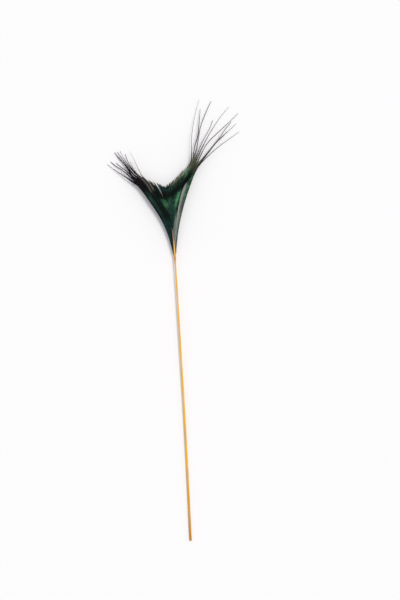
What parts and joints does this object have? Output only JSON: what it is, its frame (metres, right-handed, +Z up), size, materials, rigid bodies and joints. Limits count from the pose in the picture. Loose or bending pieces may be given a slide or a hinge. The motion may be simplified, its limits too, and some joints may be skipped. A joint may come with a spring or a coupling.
{
  "type": "dyed peacock feather",
  "caption": "Dyed peacock tail feather, stripped and trimmed to a fish-tail end: a slender bare shaft, a small dense vane and two horns of fanned barbs around a crescent.",
  "frame": {"origin": "middle of the feather's length and breadth, on the surface that it lies on", "axes": "+Y along the shaft from its cut end to the vane, +Z up from the surface, +X towards the longer horn"},
  "size_m": [0.1224, 0.4002, 0.008],
  "materials": {
    "vane": "satin",
    "shaft": "gloss"
  },
  "bodies": {
    "root": {"feather": "vane"}
  },
  "joints": []
}
